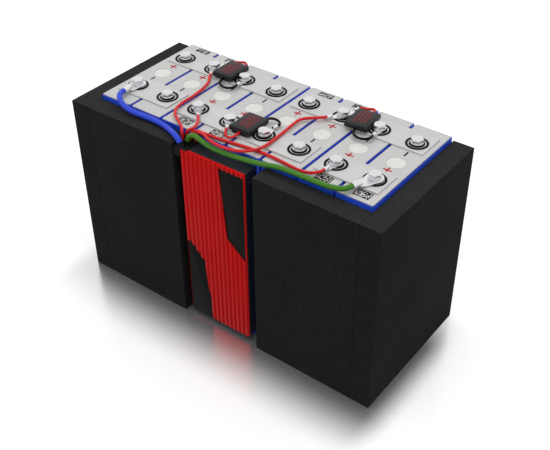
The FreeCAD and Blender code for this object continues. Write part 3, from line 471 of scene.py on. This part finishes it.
# Washers and bolts. Zinc-plated steel washers and hexagon bolts, screwed into the posts,
# clamp the plates and the lugs.
STEEL_BRIGHT = (221, 221, 224)
steel_finish = metal_finish("bright_steel", STEEL_BRIGHT, roughness=0.2, streaks=0.14)
softened("terminal_washers", "washers", steel_finish, edge=0.3 * MM)
softened("terminal_bolts", "hexagon_bolts", steel_finish, edge=0.25 * MM)

# Lugs. Tinned copper, stamped flat to a ring under the washer and rolled to a barrel
# that is crimped on the wire.
TIN_BRIGHT = (226, 226, 228)
lug_finish = metal_finish("tinned_copper", TIN_BRIGHT, roughness=0.24, streaks=0.12)
softened("ring_lugs", "small_lugs", lug_finish, edge=0.15 * MM)
softened("main_cable_lugs", "large_lugs", lug_finish, edge=0.25 * MM)

# Protection unit. A sealed box of dark painted aluminium on an adhesive pad, closed by
# four small black screws from the sides.
HOUSING_DARK = (37, 43, 44)
# Black tape; under the balancers the same black pads also serve as painted shadow.
TAPE_AND_SHADOW_BLACK = (24, 24, 24)
SCREW_BLACK = (30, 30, 32)
housing_finish = new_finish("dark_paint", HOUSING_DARK, roughness=0.5, specular=0.25, grain_scale=1100)
tape_and_shadow_finish = new_finish("foam_tape_and_painted_shadow", TAPE_AND_SHADOW_BLACK, roughness=0.9, specular=0.2)
screw_finish = new_finish("black_screw", SCREW_BLACK, roughness=0.35)
coat("unit_housing", housing_finish)
coat("unit_mounting_pad", tape_and_shadow_finish)
softened("unit_screws", "side_screws", screw_finish, edge=0.2 * MM)

# Front of the unit. A ribbed plate, painted red and glued on, with two black areas set
# between the ribs.
RIB_RED = (196, 4, 6)
INLAY_BLACK = (17, 20, 19)
rib_finish = new_finish("red_paint", RIB_RED, roughness=0.45, specular=0.15, grain_scale=1300)
inlay_finish = new_finish("black_inlay", INLAY_BLACK, roughness=0.55, specular=0.1)
softened("unit_front_plate", "ribbed_plate", rib_finish, edge=0.25 * MM)
softened("unit_front_inlays", "black_inlays", inlay_finish, edge=0.1 * MM)

# Cable gland. A black rubber block over the unit's top left corner, with a collar for
# each cable and wire.
GLAND_BLACK = (18, 19, 20)
gland_finish = new_finish("gland_rubber", GLAND_BLACK, roughness=0.6, specular=0.15)
softened("unit_cable_gland", "cable_gland", gland_finish, edge=0.3 * MM)

# Balancers. Sealed black plastic blocks on adhesive pads. Their tops carry rows of short
# red dashes, which say nothing.
BALANCER_TURNS = {"balancer_left": 0, "balancer_middle": 0, "balancer_right": math.radians(5)}
CASE_FOOT_SLOPE = 1.4 * MM
DASH_ROWS = 4
DASH_ROW_STEP = 3.3 * MM
DASH_WIDTH = 1.25 * MM
DASH_FIELD = 20 * MM
DASH_STARTS = (0, 2)
DASH_LENGTHS = (0.7, 2.2)
DASH_WIDTH_SHARES = (0.7, 1)
DASH_GAPS = (0.5, 1.1)
CASE_EDGE = 0.3 * MM
CASE_BLACK = (36, 38, 39)
DASH_RED = (160, 32, 44)
case_finish = new_finish("balancer_plastic", CASE_BLACK, roughness=0.45, specular=0.25, grain_scale=1300)
dash_finish = new_finish("dull_red_print", DASH_RED, roughness=0.55, specular=0.2)
# Painted shadow: the black pads under the cases also stand for the cases' shadows on the plates.
coat("balancer_pads", tape_and_shadow_finish)
dashes = bmesh.new()
lengths = random.Random(11)
for node, turn in BALANCER_TURNS.items():
    low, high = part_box(node)
    case = whole_mesh(node)
    foot = [edge for edge in case.edges if all(corner.co.z < low.z + HAIR for corner in edge.verts)]
    bevel_edges(case, foot, CASE_FOOT_SLOPE, segments=1)
    round_edges(case, CASE_EDGE)
    shade_softly(show_piece(f"{node}_case", case, [case_finish], [node]))
    middle = (low + high) / 2
    for row in range(DASH_ROWS):
        across = (row - (DASH_ROWS - 1) / 2) * DASH_ROW_STEP
        along = -DASH_FIELD / 2 + lengths.uniform(*DASH_STARTS) * MM
        while along < DASH_FIELD / 2:
            length = lengths.uniform(*DASH_LENGTHS) * MM
            width = DASH_WIDTH * lengths.uniform(*DASH_WIDTH_SHARES)
            spot = Matrix.Rotation(turn, 2) @ Vector((across, along + length / 2))
            add_flat_mark(dashes, width, length, middle.x + spot.x, middle.y + spot.y, high.z, turn)
            along += length + lengths.uniform(*DASH_GAPS) * MM
show_piece("balancer_dashes", dashes, [dash_finish])

# Cords. Wires and cables of stranded copper in soft plastic, crimped in their lugs and
# led over the lids into the gland or a balancer. Diameters and the points of each
# route, lug first, are in millimetres.
MAIN_CABLE = 5.2
POSITIVE_CABLE = 4.8
SENSE_WIRE = 2.8
BALANCER_LEAD = 2.4
COAT_SHARE = 0.2
CABLE_BLUE = (40, 70, 208)
CABLE_GREEN = (62, 121, 24)
WIRE_RED = (211, 26, 26)
WIRE_BLACK = (12, 12, 13)


def cord_finish(name, color, specular=0.35):
    """Glossy soft plastic with a slight waviness."""
    material = new_finish(
        name,
        color,
        roughness=0.36,
        specular=specular,
        drift=0.12,
        drift_scale=120,
        grain_scale=500,
        depth=0.05 * MM,
    )
    shader_of(material).inputs["Coat Weight"].default_value = COAT_SHARE * specular
    return material


cable_blue = cord_finish("blue_insulation", CABLE_BLUE)
cable_green = cord_finish("green_insulation", CABLE_GREEN)
wire_red = cord_finish("red_insulation", WIRE_RED)
wire_black = cord_finish("black_insulation", WIRE_BLACK, specular=0.15)


def lay_cord(node, diameter, finish, route):
    """One cord along its route, shown instead of its CAD tube; all but the shortest are declared."""
    curve = bpy.data.curves.new(f"{node}_cord", "CURVE")
    curve.dimensions = "3D"
    curve.bevel_depth = diameter * MM / 2
    curve.bevel_resolution = 5
    curve.resolution_u = 10
    curve.use_fill_caps = True
    spline = curve.splines.new("NURBS")
    spline.points.add(len(route) - 1)
    for point, place in zip(spline.points, route):
        point.co = (*(value * MM for value in place), 1)
    spline.order_u = 3
    spline.use_endpoint_u = True
    curve.materials.append(finish)
    cord = bpy.data.objects.new(f"{node}_cord", curve)
    bpy.context.scene.collection.objects.link(cord)
    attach(cord, "root")
    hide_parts(node)


lay_cord("main_negative_cable", MAIN_CABLE, cable_blue, [
    (-130.99, -46.15, 208.4), (-130.55, -50.73, 208.4), (-127.6, -55.6, 208.1), (-120.6, -60.8, 206.7),
    (-112.6, -62.9, 204.7), (-104, -62.4, 202.5), (-93, -60.6, 201.6), (-77, -60.2, 201.4),
    (-63.5, -62, 201.4), (-52.6, -66, 201.9), (-46.5, -69.1, 203), (-43.8, -70, 202.4),
    (-41.2, -70.44, 200.8), (-39.4, -70.6, 198.4),
])
lay_cord("main_positive_cable", POSITIVE_CABLE, cable_green, [
    (126.25, -48.8, 208.4), (124.92, -53.41, 208.4), (122.2, -56.2, 208.4), (117.6, -57.8, 207.7),
    (110, -58.3, 206.7), (99, -58.2, 206.1), (86, -58.2, 205.9), (72, -58.4, 205.9), (59, -59, 205.5),
    (48, -60.2, 203.7), (36, -60.8, 201.7), (22, -62.2, 201), (7, -63.8, 201), (-8.5, -64.2, 201.1),
    (-18.6, -63.6, 202.9), (-26.6, -63.4, 205.6), (-29.8, -63.5, 205.6), (-32.7, -63.8, 204.1),
    (-34.81, -64.1, 202.17), (-35.7, -64.3, 199.1),
])
lay_cord("sense_wire_1", SENSE_WIRE, wire_red, [
    (-87.99, 28.37, 207), (-85.97, 24.23, 207), (-80.6, 18, 206.2), (-76.4, 4, 206.1), (-74.4, -13, 206.1),
    (-74.8, -29.6, 206.1), (-70.6, -43.6, 206), (-57.4, -52.4, 206), (-47.2, -59, 206.3), (-43, -63.2, 204.7),
    (-42.2, -64.2, 200.7), (-42.2, -64.2, 196.6),
])
lay_cord("sense_wire_2", SENSE_WIRE, wire_red, [
    (-46.5, -37.33, 207), (-43.88, -40.34, 207), (-39.8, -45.4, 206.9), (-35.6, -53, 207.4),
    (-36, -58.2, 207.2), (-39.6, -60.6, 205.4), (-40.5, -60, 200.5), (-40.5, -60, 196.6),
])
lay_cord("sense_wire_3", SENSE_WIRE, wire_red, [
    (93.88, -41.21, 207), (93.6, -45.2, 207), (88, -49.6, 205.9), (79, -52.4, 205.4), (67, -50.8, 204.8),
    (51, -48.8, 204.8), (35, -48.4, 204.8), (19, -49.6, 204.8), (3, -52, 204.8), (-12, -54, 204.8),
    (-24, -54.7, 205.1), (-31.6, -55.8, 205.6), (-35.4, -58.2, 204.6), (-36.8, -59, 201.6),
    (-36.8, -59, 196.6),
])
lay_cord("sense_wire_4", SENSE_WIRE, wire_red, [
    (47.6, 29.81, 207), (44.66, 25.76, 207), (30.6, 15.4, 206.3), (29.6, 6, 206.1), (31, -10, 206.1),
    (31.8, -26, 206.2), (33.4, -41.6, 207.3), (31.8, -50.8, 207.9), (24.6, -58.4, 207.1), (14, -62.8, 206.3),
    (0, -64.4, 206.4), (-12, -63.4, 207.5), (-20.4, -59.6, 208.1), (-27.2, -58.4, 206.7),
    (-30.8, -58.6, 203.5), (-31.2, -58.7, 200.3), (-31.2, -58.7, 196.6),
])
lay_cord("balancer_left_red_lead", BALANCER_LEAD, wire_red, [
    (-87.49, 56.88, 207.8), (-85.7, 60.23, 207.8), (-81.4, 62.2, 207.7), (-77, 62.8, 209.1),
    (-72.6, 63.4, 210.1), (-69.6, 61.4, 209.2), (-69.6, 57.55, 209.2),
])
lay_cord("balancer_left_black_lead", BALANCER_LEAD, wire_black, [
    (-54.22, 26.99, 207), (-53.56, 23.25, 207), (-56.4, 19.2, 206.5), (-61.6, 17.6, 206.2),
    (-67.8, 19, 206.3), (-72.6, 23.4, 207.1), (-72.6, 29.05, 207.1),
])
lay_cord("balancer_middle_red_lead", BALANCER_LEAD, wire_red, [
    (-11.74, -39.51, 207), (-9.92, -43.07, 207), (-7, -47.4, 206.4), (-2.4, -48.8, 206.1),
    (1.4, -46.8, 206.5), (1.8, -42.4, 207.3), (1.8, -38.25, 207.3),
])
lay_cord("balancer_middle_black_lead", BALANCER_LEAD, wire_black, [
    (21.23, -9.41, 207), (21.7, -6.04, 207), (19.8, -3.2, 207.3), (15.4, -1.8, 207.7), (10.8, -2.6, 208),
    (8.2, -5.8, 208.1), (8.2, -9.75, 208.1),
])
lay_cord("balancer_right_red_lead", BALANCER_LEAD, wire_red, [
    (63.51, 57.37, 207.8), (65.05, 60.84, 207.8), (70.6, 61.6, 207.7), (74.4, 62.2, 209.1),
    (77.4, 61.9, 209.9), (78.99, 60.07, 209.2), (79.35, 55.93, 209.2),
])
lay_cord("balancer_right_black_lead", BALANCER_LEAD, wire_black, [
    (97.78, 26.99, 207), (98.44, 23.25, 207), (95.6, 19.4, 206.5), (90.6, 17.6, 206.2), (84.8, 18.4, 206.3),
    (79.85, 22.6, 207.1), (79.44, 27.33, 207.1),
])

# Floor. A plain white surface, polished round the pack, so that it keeps the pack's shadow
# and a reflection that fades away from it.
POLISH_MIDDLE = (0, -0.03, 0)
POLISHED_HALF = (0.172, 0.046, 0)
FADE_SPREAD = (2.1, 1, 0)
FADE_LENGTH = 0.067
POLISH = 0.8
FLOOR_LIFT = 0.42
FLOOR_WHITE = (226, 226, 226)
FLOOR_HALF_SIDE = 6
floor_mesh = bmesh.new()
bmesh.ops.create_grid(floor_mesh, x_segments=1, y_segments=1, size=FLOOR_HALF_SIDE)
floor_data = bpy.data.meshes.new("floor")
floor_mesh.to_mesh(floor_data)
floor_mesh.free()
floor = bpy.data.objects.new("floor", floor_data)
bpy.context.scene.collection.objects.link(floor)
floor_finish = new_finish("white_floor", FLOOR_WHITE, roughness=0.22, drift=0, grain=0, depth=0)
floor_shader = shader_of(floor_finish)
floor_tree = floor_finish.node_tree
reached = floor_tree.nodes.new("ShaderNodeTexCoord").outputs["Object"]
FADE_STEPS = (
    ("SUBTRACT", POLISH_MIDDLE),
    ("ABSOLUTE", None),
    ("SUBTRACT", POLISHED_HALF),
    ("MAXIMUM", (0, 0, 0)),
    ("MULTIPLY", FADE_SPREAD),
)
for operation, values in FADE_STEPS:
    step = floor_tree.nodes.new("ShaderNodeVectorMath")
    step.operation = operation
    floor_tree.links.new(reached, step.inputs[0])
    if values is not None:
        step.inputs[1].default_value = values
    reached = step.outputs["Vector"]
distance = floor_tree.nodes.new("ShaderNodeVectorMath")
distance.operation = "LENGTH"
floor_tree.links.new(reached, distance.inputs[0])
fade = floor_tree.nodes.new("ShaderNodeMapRange")
fade.interpolation_type = "SMOOTHSTEP"
fade.inputs["From Max"].default_value = FADE_LENGTH
floor_tree.links.new(distance.outputs["Value"], fade.inputs["Value"])
near = calculated(floor_tree, "SUBTRACT", 1, fade.outputs["Result"])
floor_tree.links.new(calculated(floor_tree, "MULTIPLY", near, POLISH), floor_shader.inputs["Metallic"])
floor_path = floor_tree.nodes.new("ShaderNodeLightPath")
glow = calculated(floor_tree, "MULTIPLY", floor_path.outputs["Is Camera Ray"], FLOOR_LIFT)
glow = calculated(floor_tree, "MULTIPLY", glow, fade.outputs["Result"])
floor_shader.inputs["Emission Color"].default_value = (1, 1, 1, 1)
floor_tree.links.new(glow, floor_shader.inputs["Emission Strength"])
floor_data.materials.append(floor_finish)

# Light. A white room seen by the camera and in reflections, dimmer as a light, and soft
# lamps above and at the front, which shiny metal doesn't mirror.
ROOM_STRENGTH = 0.42
OBJECT_MIDDLE = Vector((0, 0, 0.12))
world = bpy.data.worlds.new("studio")
bpy.context.scene.world = world
world.use_nodes = True
room = world.node_tree
background = room.nodes["Background"]
background.inputs["Color"].default_value = (1, 1, 1, 1)
path = room.nodes.new("ShaderNodeLightPath")
seen = calculated(room, "MAXIMUM", path.outputs["Is Camera Ray"], path.outputs["Is Glossy Ray"])
seen = calculated(room, "MAXIMUM", seen, path.outputs["Is Transmission Ray"])
lift = calculated(room, "MULTIPLY", seen, 1 - ROOM_STRENGTH)
room.links.new(calculated(room, "ADD", lift, ROOM_STRENGTH), background.inputs["Strength"])


def soft_lamp(name, place, size, power):
    """A square soft lamp that points at the middle of the pack."""
    data = bpy.data.lights.new(name, "AREA")
    data.size = size
    data.energy = power
    lamp = bpy.data.objects.new(name, data)
    lamp.location = place
    lamp.rotation_euler = (OBJECT_MIDDLE - Vector(place)).to_track_quat("-Z", "Y").to_euler()
    lamp.visible_glossy = False
    bpy.context.scene.collection.objects.link(lamp)


soft_lamp("top_lamp", place=(0.1, 0.1, 2.2), size=3.0, power=38)
soft_lamp("front_lamp", place=(-0.5, -1.8, 0.9), size=1.6, power=4.5)

# Camera. It looks down on the unit and the right end from the angle of the photograph,
# and the whole pack fills its frame.
camera_data = bpy.data.cameras.new("camera")
camera_data.lens = 59.87
camera_data.sensor_width = 36
camera = bpy.data.objects.new("camera", camera_data)
camera.location = (0.44176, -0.56127, 0.62872)
camera.rotation_euler = Euler((0.91690, 0.00723, 0.64926), "XYZ")
bpy.context.scene.collection.objects.link(camera)
bpy.context.scene.camera = camera
bpy.context.scene.view_settings.view_transform = "Standard"
